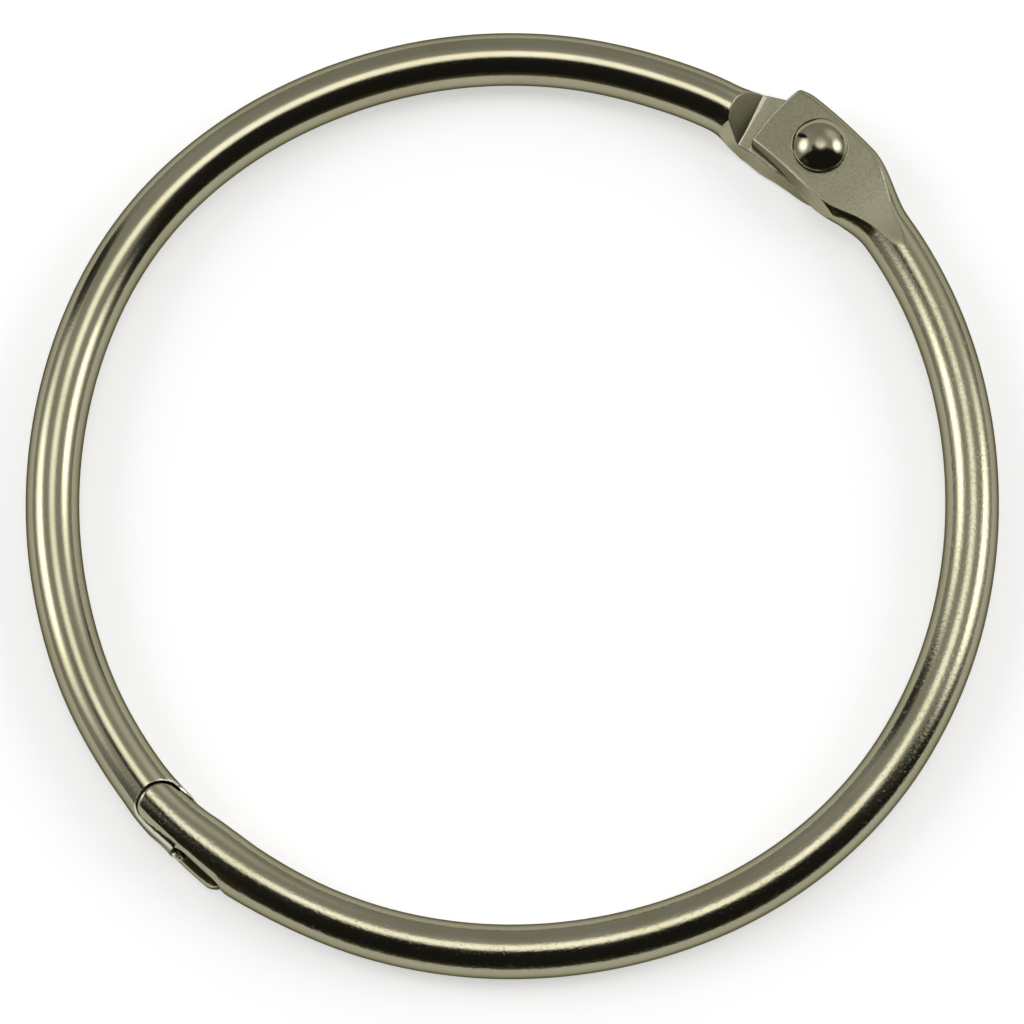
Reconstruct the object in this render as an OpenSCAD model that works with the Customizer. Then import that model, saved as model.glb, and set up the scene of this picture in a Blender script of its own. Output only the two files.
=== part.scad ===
// Binder ring: two half rings of round wire, joined by a rivet and closed by a half-lap clasp.
// Both halves are pressed alike, and the lower one lies turned over. The ring lies flat on z = 0,
// with its centre over the origin, the hinge in +X +Y and the clasp in -X -Y.

/* [Ring] */
// Clear diameter inside the closed ring
inside_d = 76.8; // [60:0.2:100]
// Diameter of the round wire
wire_d = 4.8; // [4:0.1:5.6]

/* [Bend of each half] */
// How far the crown of each half stands outside the mean circle
crown_rise = 0.47; // [0:0.01:1]
// How much smaller than the mean circle the bend of the crown is, in radius
crown_tighter = 3.6; // [1:0.1:5]
// How much larger than the mean circle the bend of the sides is, in radius
side_flatter = 3; // [1:0.1:5]
// Half of the angle that the crown's bend covers
crown_half_angle = 19; // [12:1:26]
// Direction of the lower half's crown, seen from above
lower_crown_dir = 137; // [134:0.5:140]
// Direction of the upper half's crown, seen from above
upper_crown_dir = 311; // [308:0.5:314]

/* [Hinge tabs] */
// Direction of the rivet on the upper half's side bend
hinge_dir = 46; // [42:0.5:50]
// Thickness of each pressed tab
tab_t = 2; // [1.5:0.05:2.1]
// Widest part of each tab, over its rounded flanks
tab_w = 7.4; // [6.6:0.1:8]
// Width of the tabs' flanks at their very end
tab_end_w = 6.4; // [5.6:0.1:6.6]
// Play between the two tabs
tab_gap = 0.1; // [0.06:0.02:0.2]
// Half height of a tab's flank curve towards its outer face
flank_outer_h = 2.05; // [1.8:0.05:2.4]
// Half height of a tab's flank curve towards the other tab
flank_inner_h = 1.75; // [1.6:0.05:2.4]
// Distance from the rivet at which a tab starts to narrow
tab_full_l = 3; // [2.6:0.1:3.6]
// Distance from the rivet at which the wire is round again
tab_root_l = 9.6; // [9:0.1:11]
// Distance from the rivet to the foot of the ramp between the tabs
ramp_foot_l = 6.5; // [6.2:0.1:7.2]
// Length of the ramp, from its foot to the far side of the wire
ramp_l = 2; // [1:0.1:3]
// Distance from the rivet at which a tab's outer face starts to rise
die_start_l = 7; // [6:0.1:8]
// Radius with which a tab's outer face rises to the wire
die_r = 29; // [20:1:40]
// Distance from the rivet to the blunt end of the upper tab
upper_end_l = 5.3; // [4.6:0.1:5.6]
// Radius of the upper tab's blunt end
upper_end_r = 10; // [7:0.5:14]
// How far the blunt end's middle is shifted towards the inside of the ring
upper_end_shift = 0.8; // [0:0.1:1.5]
// Radius of the lower tab's round end
lower_end_r = 4.3; // [4:0.1:5.3]

/* [Rivet] */
// Diameter of the domed head
head_d = 4.9; // [4:0.1:5.4]
// Height of the straight rim under the dome
head_rim_h = 0.5; // [0.2:0.05:0.8]
// Height of the dome above its rim
dome_h = 1.05; // [0.8:0.05:2.2]
// Diameter of the shank
shank_d = 3; // [2:0.1:3.4]
// Diameter of the low head upset on the tail
tail_d = 4.4; // [4:0.1:5.4]
// Diameter of the flat that the tail ends in
tail_flat_d = 3.8; // [3.4:0.1:4]
// Depth of the countersink that the tail fills
tail_sink = 0.4; // [0.2:0.05:0.6]
// Radial play of the upper half on the shank
shank_play = 0.05; // [0.02:0.01:0.1]
// Play between the upper tab and the head
head_play = 0.05; // [0.02:0.01:0.1]

/* [Clasp] */
// Direction of the upper nose's centre on the upper half's side bend
nose_dir = -135; // [-140:0.5:-130]
// Radius of the upper half's nose
upper_nose_r = 2.15; // [1.9:0.05:2.25]
// Radius of the lower half's nose
lower_nose_r = 2.3; // [1.9:0.05:2.35]
// How much wider each nose is than the tongue behind it, on each side
nose_swell = 0.05; // [0.04:0.01:0.1]
// Distance along the wire between the centres of the two noses
lap_l = 6.9; // [6:0.1:9]
// Play between the two lap faces
lap_gap = 0.3; // [0.2:0.02:0.4]
// Play round each nose in its pocket
pocket_gap = 0.15; // [0.12:0.01:0.25]
// How far a pocket's rims run back from the nose's centre
rim_l = 3.2; // [2.4:0.1:4]
// Radius in which a tongue's flank runs out to the full wire
run_out_r = 3.3; // [2:0.1:6]
// Distance from the wire's middle at which a lap face starts to fall away outwards
fall_n = 1.4; // [1:0.1:1.8]
// Angle at which it falls away
fall_angle = 28; // [15:1:45]
// Depth of the waist in the upper tongue's outer flank
waist_depth = 0.3; // [0:0.05:0.4]
// Radius of the waist
waist_r = 33; // [20:1:60]
// Distance of the catch from the upper nose's centre
catch_l = 3.9; // [3.4:0.1:4.6]
// Width of the catch along the wire
catch_w = 0.8; // [0.5:0.1:1.2]
// Height of the catch above the lower lap face
catch_h = 0.2; // [0.1:0.02:0.24]
// Distance that the catch reaches outwards from the wire's middle
catch_reach = 2.05; // [1.6:0.05:2.2]
// Play on each side of the catch in its groove
catch_play = 0.2; // [0.1:0.05:0.4]

/* [Hidden] */
$fn = 96;

nickel = [0.68, 0.66, 0.58];
rivet_nickel = [0.74, 0.73, 0.68];

wire_r = wire_d / 2;
mean_r = inside_d / 2 + wire_r;
crown_r = mean_r - crown_tighter;
side_r = mean_r + side_flatter;
crown_offset = mean_r + crown_rise - crown_r;

// Heights are measured from the mid-plane of the wire.
mate_z = tab_gap / 2;
outer_z = mate_z + tab_t;
head_z = outer_z + head_play;
lap_z = lap_gap / 2;

head_r = head_d / 2;
shank_r = shank_d / 2;
dome_r = (head_r * head_r + dome_h * dome_h) / (2 * dome_h);
dome_mid_z = head_z + head_rim_h + dome_h - dome_r;

clear = 1;           // how far a cutter runs past what it cuts
overlap = 0.2;       // how far one length of wire runs into the next
skin = 0.02;         // how much less than the crown's and the tab's is the radius of the side bends
ring_points = 40;    // points round each section of a tab
section_step = 0.8;  // distance between the sections of a tab
bend_fn = 240;       // facets of a full turn of a bend in the mesh

function dir(a) = [cos(a), sin(a)];
function flip(p) = [p[0], -p[1]];
function angle_of(v) = atan2(v[1], v[0]);
function wrap(a, near) = a + 360 * round((near - a) / 360);
function degrees_along(l) = l / side_r * 180 / PI;
function smooth(t) = let (u = min(max(t, 0), 1)) u * u * (3 - 2 * u);
function mix(a, b, t) = a + (b - a) * t;

// Each half is worked out as it lies with its outer face up. From the hinge it runs
// clockwise to the clasp, along one side bend, the crown bend and the other side bend.
function crown_centre(crown) = crown_offset * dir(crown);
function side_centre(crown, side) =
    crown_centre(crown) - (side_r - crown_r) * dir(crown + side * crown_half_angle);

upper_crown = upper_crown_dir - 360;
lower_crown = -lower_crown_dir;
upper_hinge_centre = side_centre(upper_crown, 1);
upper_clasp_centre = side_centre(upper_crown, -1);
lower_hinge_centre = side_centre(lower_crown, 1);
lower_clasp_centre = side_centre(lower_crown, -1);

// The rivet stands on the upper half's bend, and the lower tab has its hole where that falls.
hinge = upper_hinge_centre + side_r * dir(hinge_dir);
lower_hinge_dir = angle_of(flip(hinge) - lower_hinge_centre);

// The upper nose's place fixes the lap, and the lower nose lies one lap further on.
upper_nose = upper_clasp_centre + side_r * dir(nose_dir);
lower_nose_dir = wrap(angle_of(flip(upper_nose) - lower_clasp_centre), -225) - degrees_along(lap_l);

// ---------- shared shapes ----------

// A piece of wire of radius r, bent to bend_r about the centre.
module bend(centre, bend_r, r, from, to) {
    translate([centre[0], centre[1], 0])
        rotate_extrude(angle = to - from, start = from, $fn = bend_fn)
            translate([bend_r, 0])
                circle(r, $fn = 96);
}

// A cutter that follows a side bend. Its section is given by children, with X outwards.
module along_side(centre, from, to) {
    translate([centre[0], centre[1], 0])
        rotate_extrude(angle = to - from, start = from, $fn = bend_fn)
            translate([side_r, 0])
                children();
}

// Children stand on a side bend, with +X outwards, +Y along the wire away from the rivet.
module on_side(centre, a) {
    translate([centre[0], centre[1], 0])
        rotate(a)
            translate([side_r, 0, 0])
                mirror([0, 1, 0])
                    children();
}

// ---------- pressed hinge tab ----------

// Half width, height of the middle and half heights of the tab's section at distance l.
function press(l) = 1 - smooth((l - tab_full_l) / (tab_root_l - tab_full_l));
function half_width(l) = l > 0
    ? mix(wire_r, tab_w / 2, press(l))
    : mix(tab_w / 2, tab_end_w / 2, smooth((-l - tab_full_l) / tab_full_l));
function middle_z(l) = mix(0, mate_z + tab_t / 2, press(l));
function outer_h(l) = mix(wire_r, flank_outer_h, press(l));
function inner_h(l) = mix(wire_r, flank_inner_h, press(l));

function section(centre, a, l) = [
    for (i = [0 : ring_points - 1])
        let (
            t = 360 * i / ring_points,
            n = half_width(l) * cos(t),
            z = middle_z(l) + (sin(t) > 0 ? outer_h(l) : inner_h(l)) * sin(t),
            p = centre + (side_r + n) * dir(a - degrees_along(l))
        )
        [p[0], p[1], z]
];

// The flanks of the tab: sections that change from the round wire to a wide oval.
module tab_blank(centre, a) {
    first = -tab_full_l * 2 - clear;
    steps = ceil((tab_root_l - first) / section_step);
    rings = [
        for (k = [0 : steps])
            section(centre, a, first + (tab_root_l - first) * k / steps)
    ];
    points = [for (ring = rings) each ring];
    near_cap = [[for (i = [0 : ring_points - 1]) i]];
    far_cap = [[for (i = [ring_points - 1 : -1 : 0]) steps * ring_points + i]];
    flanks = [
        for (k = [0 : steps - 1], i = [0 : ring_points - 1])
            let (
                j = (i + 1) % ring_points,
                near = k * ring_points,
                far = near + ring_points
            )
            each [[near + i, far + i, far + j], [near + i, far + j, near + j]]
    ];
    polyhedron(points, concat(near_cap, flanks, far_cap), convexity = 4);
}

// A bar across the tab whose side view is given by children, with X away from the rivet.
module across_tab(centre, a, l) {
    big = 3 * tab_w;
    on_side(centre, a - degrees_along(l))
        rotate([90, 0, 90])
            translate([0, 0, -big / 2])
                linear_extrude(big)
                    children();
}

// What the dies press away: above the outer face, and from the foot of the ramp inwards.
module die_cuts(centre, a) {
    big = 3 * tab_w;
    across_tab(centre, a, die_start_l) {
        translate([-big, outer_z])
            square([big, big]);
        translate([0, outer_z + die_r])
            circle(die_r, $fn = bend_fn);
    }
    across_tab(centre, a, ramp_foot_l)
        polygon([
            [-big, mate_z],
            [0, mate_z],
            [ramp_l, -wire_r - mate_z],
            [ramp_l, -big],
            [-big, -big]
        ]);
}

// What is trimmed off a tab to leave an end of radius r, whose centre lies at n and l.
module end_trim(centre, a, r, n, l) {
    big = 3 * tab_w;
    on_side(centre, a)
        difference() {
            translate([-big / 2, -big, -big / 2])
                cube([big, big - tab_full_l / 2, big]);
            translate([n, l, -big])
                cylinder(r = r, h = 2 * big, $fn = bend_fn);
        }
}

// The lower tab's hole, with the countersink for the rivet's tail in its outer face.
module rivet_seat() {
    flare = (tail_d / 2 - shank_r) / tail_sink;
    sink_h = tail_sink + clear;
    translate([0, 0, -wire_d])
        cylinder(r = shank_r, h = 2 * wire_d);
    translate([0, 0, outer_z - tail_sink])
        cylinder(r1 = shank_r, r2 = shank_r + flare * sink_h, h = sink_h);
}

// ---------- clasp ----------

// A tongue with its round nose, grown by play. It runs l back along its own wire, and
// way is 1 where that is anticlockwise and -1 where it is clockwise.
module tongue(centre, nose_a, nose_r, l, way, play, low, high) {
    nose = centre + side_r * dir(nose_a);
    half_w = nose_r - nose_swell + play;
    back = nose_a + way * degrees_along(l);
    along_side(centre, min(nose_a, back), max(nose_a, back))
        translate([-half_w, low])
            square([2 * half_w, high - low]);
    translate([nose[0], nose[1], low])
        cylinder(r = nose_r + play, h = high - low);
}

// What is pressed away from one half, so that its tongue lies on the other half's tongue.
module lap_cuts(centre, nose_a, nose_r, mate_centre, mate_a, mate_r) {
    deep = wire_d;
    mate = mate_centre + side_r * dir(mate_a);
    start = nose_a - degrees_along(nose_r + clear);
    lap_end = wrap(angle_of(mate - centre), nose_a) - degrees_along(rim_l);
    half_w = nose_r - nose_swell;

    // the wire beyond its own lap face, which falls away towards the outside
    along_side(centre, start, lap_end)
        polygon([
            [-deep, -deep],
            [deep, -deep],
            [deep, lap_z + (deep - fall_n) * tan(fall_angle)],
            [fall_n, lap_z],
            [-deep, lap_z]
        ]);

    // the pocket for the other half's nose
    tongue(mate_centre, mate_a, mate_r, rim_l + clear / 2, -1, pocket_gap, -deep, lap_z);

    // the round nose, and the flanks of the tongue with their run-out to the full wire
    difference() {
        along_side(centre, start, lap_end)
            translate([-deep, -deep])
                square([2 * deep, 2 * deep]);
        tongue(centre, nose_a, nose_r, 2 * lap_l, 1, 0, -2 * deep, 2 * deep);
    }
    for (side = [-1, 1])
        on_side(centre, lap_end)
            translate([side * (half_w + run_out_r), 0, -deep])
                cylinder(r = run_out_r, h = 2 * deep);
}

// The waist in the upper tongue's outer flank, which leaves the end of the catch in view.
module waist() {
    on_side(upper_clasp_centre, nose_dir + degrees_along(catch_l))
        translate([upper_nose_r - nose_swell - waist_depth + waist_r, 0, -wire_d])
            cylinder(r = waist_r, h = 2 * wire_d, $fn = bend_fn);
}

// A bar across the lap at the catch, from one height to another.
module catch_bar(centre, a, w, inwards, outwards, low, high) {
    on_side(centre, a)
        translate([-inwards, -w / 2, low])
            cube([inwards + outwards, w, high - low]);
}

// ---------- the two half rings and the rivet ----------

// One half with its outer face up, before its rivet hole and catch are made.
module half_ring(crown, hinge_a, end_r, end_n, end_l, nose_a, nose_r, mate_centre, mate_a, mate_r) {
    hinge_centre = side_centre(crown, 1);
    clasp_centre = side_centre(crown, -1);
    difference() {
        union() {
            bend(hinge_centre, side_r, wire_r - skin, crown + crown_half_angle - degrees_along(overlap),
                hinge_a - degrees_along(tab_root_l - overlap));
            bend(crown_centre(crown), crown_r, wire_r, crown - crown_half_angle,
                crown + crown_half_angle);
            bend(clasp_centre, side_r, wire_r - skin, nose_a - degrees_along(nose_r + clear / 2),
                crown - crown_half_angle + degrees_along(overlap));
            tab_blank(hinge_centre, hinge_a);
        }
        die_cuts(hinge_centre, hinge_a);
        end_trim(hinge_centre, hinge_a, end_r, end_n, end_l);
        lap_cuts(clasp_centre, nose_a, nose_r, mate_centre, mate_a, mate_r);
    }
}

// The half on top at the hinge and at the clasp. It turns on the rivet.
module upper_half_ring() {
    translate([0, 0, wire_r])
        difference() {
            half_ring(upper_crown, hinge_dir, upper_end_r, -upper_end_shift, upper_end_r - upper_end_l,
                nose_dir, upper_nose_r, flip(lower_clasp_centre), -lower_nose_dir - 360, lower_nose_r);
            translate([hinge[0], hinge[1], -wire_d])
                cylinder(r = shank_r + shank_play, h = 2 * wire_d);
            waist();
            catch_bar(upper_clasp_centre, nose_dir + degrees_along(catch_l),
                catch_w + 2 * catch_play, wire_d, wire_d, 0, lap_z + catch_h);
        }
}

// The half underneath, pressed as the upper one and turned over. Its tab holds the rivet.
module lower_half_ring() {
    catch_a = lower_nose_dir + degrees_along(lap_l - catch_l);
    half_w = lower_nose_r - nose_swell;
    translate([0, 0, wire_r])
        rotate([180, 0, 0]) {
            difference() {
                half_ring(lower_crown, lower_hinge_dir, lower_end_r, 0, 0, lower_nose_dir,
                    lower_nose_r, flip(upper_clasp_centre), -nose_dir - 360, upper_nose_r);
                translate([hinge[0], -hinge[1], 0])
                    rivet_seat();
            }
            catch_bar(lower_clasp_centre, catch_a, catch_w, half_w - catch_play, catch_reach,
                lap_z - catch_h, wire_r / 2);
        }
}

// Domed head, shank, and a tail upset in the lower tab's countersink. It ends level with
// the bottom of the wire.
module hinge_rivet() {
    translate([hinge[0], hinge[1], wire_r])
        rotate_extrude() {
            polygon([
                [0, -wire_r],
                [tail_flat_d / 2, -wire_r],
                [tail_d / 2, -outer_z],
                [shank_r, tail_sink - outer_z],
                [shank_r, head_z + head_rim_h],
                [0, head_z + head_rim_h]
            ]);
            intersection() {
                translate([0, head_z])
                    square([head_r, head_rim_h + dome_h + clear]);
                translate([0, dome_mid_z])
                    circle(dome_r);
            }
        }
}

color(nickel) lower_half_ring();
color(nickel) upper_half_ring();
color(rivet_nickel) hinge_rivet();
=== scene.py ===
"""A hinged binder ring of round nickel-plated wire, dressed for rendering over its CAD frame."""
import math

import bpy
import numpy as np
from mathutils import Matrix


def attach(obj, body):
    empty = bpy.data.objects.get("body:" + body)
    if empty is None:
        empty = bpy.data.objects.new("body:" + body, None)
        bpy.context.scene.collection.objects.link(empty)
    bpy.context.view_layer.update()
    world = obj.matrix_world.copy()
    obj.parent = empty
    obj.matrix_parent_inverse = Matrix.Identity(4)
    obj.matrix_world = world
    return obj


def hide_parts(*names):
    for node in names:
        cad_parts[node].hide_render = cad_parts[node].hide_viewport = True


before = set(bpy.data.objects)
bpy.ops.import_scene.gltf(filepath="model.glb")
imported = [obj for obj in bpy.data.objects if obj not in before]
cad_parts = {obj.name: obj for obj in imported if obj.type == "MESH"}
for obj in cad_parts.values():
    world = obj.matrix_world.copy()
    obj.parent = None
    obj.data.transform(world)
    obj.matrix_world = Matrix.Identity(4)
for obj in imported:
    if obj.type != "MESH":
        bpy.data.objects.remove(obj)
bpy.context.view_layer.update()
scene = bpy.context.scene

# ---------------------------------------------------------------- sizes, in mm and degrees
# Places on a half are given as u, along the wire from the rivet, or s, back along it from the nose's
# centre, as n, outwards from the wire's middle, and as z, up towards the half's outer face.

# The bent wire, and each half's crown bend between its two side bends.
WIRE_R, HALF_H = 2.38, 2.4
MEAN_R, CROWN_R, SIDE_R = 40.8, 37.2, 43.8
CROWN_LIFT, CROWN_HALF = 0.47, 19.0
CROWN_OFF = MEAN_R + CROWN_LIFT - CROWN_R
HINGE_DIR, NOSE_DIR = 46.0, -135.0
UPPER_CROWN, LOWER_CROWN = -49.0, -137.0
LOWER_NOSE_NEAR, SIDE_TURN = -225, 70

# The tab: its two faces, its half widths, and where it is fully pressed and where it starts.
MATE_Z, OUTER_Z, TAB_REACH = 0.05, 2.05, 16
TAB_W, TAB_W_IN, TAB_END_W = 3.72, 4.0, 3.0
TAB_MID = MATE_Z + 1
TAB_FULL, TAB_ROOT = 3.2, 9.6
FLANK_OUTER, FLANK_STEEP, FLANK_INNER = 1.9, 2.8, 3.2
STEEP_END, STEEP_FADE = 3, 2
# The tab's end: an arc with its middle at (n, u) and its radius, and the lower tab's arc and corner.
UPPER_END = 0.4, 14.88, 20
LOWER_END_R, LOWER_CORNER_R, LOWER_CORNER_ROUND = 4.3, 4.15, 0.7
END_FROM = 0.5

# The outer die's rise, the ramp between the tabs with the strip along its foot, painted bright as
# burnishing and as a highlight, and how the lower tab's inner flank leans beside it.
DIE_START, DIE_R = 7.0, 29.0
RAMP_FOOT, RAMP_L, RAMP_DROP = 6.5, 2.0, HALF_H + 2 * MATE_Z
FOOT_SLOPE = math.tan(math.radians(3))
FOOT_MIN, FOOT_SPREAD = 0.08, 0.07
LEAN_START, LEAN_END, LEAN = (6.2, 1.2), (9.5, 1.5), 0.5

# The burr along the upper tab's outer edge.
BURR_R, BURR_SINK, BURR_THIN = 0.09, 0.04, 0.02
BURR_START, BURR_END = (4.2, 1.2), (9, 1.5)

# The rivet: head, shank and tail, and how far the head sits off the hinge's axis.
HEAD_R, HEAD_Z, RIM_H, DOME_H = 2.5, 2.10, 0.35, 1.2
HEAD_SHIFT = 0.20, 0.15
HEAD_LIP = 0.12
SHANK_R, BORE_R = 1.5, 1.55
TAIL_R, TAIL_FLAT_R, TAIL_SINK = 2.2, 1.9, 0.4
TAIL_ROUND, SEAT_ROUND = 0.3, 0.05

# The tongues: lap face, noses and their pockets, and where the lower half's rims end.
LAP_Z, LAP_L, CLASP_REACH = 0.15, 6.9, 18
FALL_N, FALL_SLOPE = 1.4, math.tan(math.radians(28))
UPPER_NOSE_R, UPPER_NOSE_AT, LOWER_NOSE_R = 2.2, 0.05, 2.33
UPPER_BLUNT, LOWER_BLUNT, NOSE_SPREAD = 1.3, 1.12, 0.5
NOSE_CORNER, NOSE_ROUND = 0.5, 0.34
POCKET_GAP, RIM_L, RIM_SHORTER = 0.03, 3.2, 0.55
INNER_RIM_AT, INNER_RIM_SLOPE = 5.6, 0.6
INNER_RIM_N, INNER_RIM_FADE, INNER_RIM_SCALE = 0.6, 1.2, 1.2
POCKET_ROUND, OUTER_RIM_ROUND = 0.06, 0.75

# Where things on the tongue begin and end, each as (start or end, length of the fade).
NOSE_ROUND_END = 0.4, 1.2
CREST_N, CREST_START, CREST_END = (2.12, 0.05), (4.9, 0.4), (7.8, 0.8)
CREST_Z, CREST_AWAY = 0.75, 3
BROAD_N, BROAD_START, BROAD_END = (1, 0.6), (-1.7, 1.2), (2.9, 0.5)

# Roundings of the pressed edges, from the broadest to the finest.
ROUND_DIE, ROUND_EDGE, ROUND_THIN, ROUND_SHARP = 0.08, 0.05, 0.03, 0.02

# The catch and its groove.
CATCH_L, CATCH_W, CATCH_H, CATCH_REACH = 3.9, 0.8, 0.2, 1.9
CATCH_ROOT, CATCH_IN, GROOVE_PLAY = 1.2, 2.05, 0.2

# The crushed end of the catch: three lumps at (s, n, z), and their facets, as a direction along the
# same three and the distance from the lump's middle. All lumps but the first are turned end for end.
NIB_AT = ((2.93, 1.9, -0.1), (2.47, 1.84, -0.02), (3.42, 1.66, 0.06))
NIB_FACETS = ((0.29, 0.36, -0.89, 0.27), (-0.37, -0.28, -0.89, 0.27), (-0.05, 0.04, -1.0, 0.29),
              (0.9, 0.1, -0.42, 0.25), (-0.9, 0.2, -0.39, 0.25), (0.1, 0.9, -0.42, 0.28),
              (0.1, -0.85, -0.52, 0.3), (0.6, 0.75, 0.28, 0.28), (0.0, 1.0, 0.1, 0.3),
              (0.0, 0.0, 1.0, 0.7))
NIB_R, NIB_FADE = 0.35, 0.15

# Small departures of the bent wire from its three bends, as (u, offset outwards).
UPPER_WANDER = ((-6, 0), (2, 0), (5, 0.05), (9, 0.13), (16, 0.17), (22, 0.13), (28, 0.05),
                (35, -0.006), (42, 0.015), (50, 0.06), (60, 0.02), (76, -0.08), (92, -0.05),
                (104, 0.02), (112, 0.03), (120, -0.06), (126, -0.05), (130, 0), (137, 0))
LOWER_WANDER = ((-6, 0), (1.5, 0), (4, -0.16), (7, -0.38), (10, -0.25), (16, -0.2), (24, -0.05),
                (32, 0), (56, 0), (66, 0.1), (76, 0.05), (88, -0.04), (104, -0.02), (112, 0.05),
                (118, 0), (134, 0))

# Half widths of the wire beside its pocket, inside and outside the ring, by s.
UPPER_WIRE_IN = ((-3, 2.4), (3, 2.5), (5, 2.62), (7, 2.62), (9, 2.54), (12, 2.46), (16, 2.38),
                 (20, 2.38))
UPPER_WIRE_OUT = ((-3, 2.38), (7, 2.42), (9, 2.45), (12, 2.41), (16, 2.38), (20, 2.38))
LOWER_WIRE_IN = ((-3, 2.4), (3, 2.5), (5, 2.58), (7, 2.52), (9, 2.42), (12, 2.38), (20, 2.38))
LOWER_WIRE_OUT = ((-3, 2.38), (4, 2.42), (6, 2.46), (7.5, 2.47), (9, 2.4), (12, 2.38), (20, 2.38))

# Half widths that the tongues' flanks are pressed to, by s.
UPPER_FLANK_IN = ((-3, 2.19), (0, 2.2), (1, 2.26), (1.8, 2.38), (2.6, 2.44), (3.6, 2.48), (5, 2.68),
                  (6.5, 3.1), (8, 3.6), (14, 3.6))
UPPER_FLANK_OUT = ((-3, 1.96), (3, 1.96), (3.4, 1.94), (3.8, 1.8), (4.4, 1.74), (5, 1.77),
                   (6, 1.87), (7, 1.98), (8, 2.14), (9.2, 2.5), (11, 3.2), (14, 3.8))
POCKET_OUT = ((-3, 1.97), (5, 1.97), (6.3, 2.1), (7.2, 2.22), (8, 2.32), (9.6, 2.65), (11, 3.15),
              (14, 3.6))
LOWER_FLANK_IN = ((-3, 2.27), (0, 2.27), (1.2, 2.25), (3.6, 2.25), (4.6, 2.42), (5.6, 2.8),
                  (7, 3.6), (14, 3.6))
LOWER_FLANK_OUT = ((-3, 2.33), (0, 2.33), (1.2, 2.33), (2.4, 2.32), (3.1, 2.27), (3.8, 2.22),
                   (4.7, 2.27), (5.3, 2.4), (6.2, 2.6), (7.4, 3), (9, 3.6), (14, 3.6))

# The bevel on the outer flank of the upper tongue, by s: where it starts, and its slope. It fades out.
BEVEL_AT = ((-3, 1.34), (-1, 1.34), (0, 1.37), (2, 1.37), (3, 1.4), (4, 1.45), (5, 1.47), (6, 1.56),
            (7, 1.66), (8, 1.75), (9, 1.85))
BEVEL = math.radians(53)
BEVEL_TO, BEVEL_FADE, BEVEL_LIFT = 7.5, 2.5, 0.3

# The tab's inner flank, by u: half width of the face that is seen, the spread below that face, and for
# the upper half the slanting face that takes its edge off.
UPPER_EDGE = ((-6, 3.2), (4.2, 3.2), (5, 3.14), (5.8, 3.02), (6.6, 3), (8, 3.2), (10, 3.4))
UPPER_SPREAD = ((-6, 0.07), (-2, 0.09), (0.5, 0.12), (2, 0.24), (3.4, 0.34), (4.2, 0.36), (5, 0.38),
                (5.8, 0.42), (6.6, 0.6), (8, 1))
UPPER_SLANT = ((-6, 3.6), (2.6, 3.6), (3.4, 3.34), (4.2, 3.12), (5, 2.9), (5.8, 2.56), (6.6, 2.34),
               (8, 2.6), (10, 3.2))
LOWER_EDGE = ((-6, 3.17), (1, 3.17), (2, 3.1), (3, 2.95), (4, 2.75), (5, 2.6), (6, 2.5),
              (6.7, 2.42), (7.6, 2.4), (9, 2.8), (12, 3.2))
LOWER_SPREAD = ((-6, 0.12), (1, 0.16), (2, 0.19), (3, 0.27), (4, 0.31), (5, 0.26), (6, 0.22),
                (7, 0.27), (8.5, 0.9), (12, 0.9))

# The line on the lower tab's face beside the upper tab's flank, painted bright as burnishing and as a
# highlight, by u.
RUB = ((1.5, 2.98), (2.6, 2.76), (3.4, 2.56), (4, 2.4), (4.7, 2.24), (5.3, 2.02))

# How dull the dies have left the tab, by u, how rough the ramp is, and how far the burnishing goes, which
# is painted bright, partly as a highlight.
PRESSED = ((-5, 1), (-3, 1), (0, 0.85), (2.8, 0.7), (5, 0.68), (8, 0.22), (10, 0.15))
RAMP_SATIN, RUB_AND_HIGHLIGHT = 1.6, 0.7
DULL_TO, RAMP_TO = 13, 10
BRIGHT_TO = 4.5

# How far the looks reach from the surfaces they belong to, each as (start, length of the fade).
SKIN_BRIGHT, HEAD_BRIGHT = (0.07, 0.05), (0.03, 0.04)
ON_DIE, ON_MATE, STRIP_START = (0.01, 0.03), (0.02, 0.03), 0.02
STRIP_FADE, RAMP_FADE, MATE_TO = 0.03, 0.06, 0.5
RUB_START, RUB_END, RUB_W, RUB_FADE = (1.7, 0.8), (5.5, 0.2), 0.14, 0.1

# The outer edge of the flat on the tab, by u.
FLAT_OUT = ((-5, 2.9), (-3, 3.1), (0, 3.18), (3, 3.14), (4.2, 3.02), (5.3, 2.7), (6.4, 2.17),
            (7.9, 1.48), (9.2, 1.1), (10.9, 0.56))


def unit(a):
    return np.array([math.cos(math.radians(a)), math.sin(math.radians(a))])


def angle_of(v):
    return math.degrees(math.atan2(v[1], v[0]))


def near(a, b):
    """The angle a, with whole turns added until it is next to b."""
    return a + 360 * round((b - a) / 360)


def along(l):
    return math.degrees(l / SIDE_R)


def flip(p):
    """A point of the ring, seen by the half that is turned over about x."""
    return np.array([p[0], -p[1]])


def side_centre(crown, side):
    """The centre of a side bend, which carries on from the crown bend's end."""
    return CROWN_OFF * unit(crown) - (SIDE_R - CROWN_R) * unit(crown + side * CROWN_HALF)


UPPER_SIDES = side_centre(UPPER_CROWN, 1), side_centre(UPPER_CROWN, -1)
LOWER_SIDES = side_centre(LOWER_CROWN, 1), side_centre(LOWER_CROWN, -1)
HINGE = UPPER_SIDES[0] + SIDE_R * unit(HINGE_DIR)
LOWER_HINGE_DIR = angle_of(flip(HINGE) - LOWER_SIDES[0])
UPPER_NOSE = UPPER_SIDES[1] + SIDE_R * unit(NOSE_DIR)
LOWER_NOSE_DIR = near(angle_of(flip(UPPER_NOSE) - LOWER_SIDES[1]), LOWER_NOSE_NEAR) - along(LAP_L)


# ---------------------------------------------------------------- curves and joins of distances
TINY, FAR_INSIDE = 1e-9, -9.0


def smooth(t):
    t = np.clip(t, 0, 1)
    return t * t * (3 - 2 * t)


def rise(x, start, length):
    """0 until start, 1 from start + length on."""
    return smooth((x - start) / length)


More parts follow.
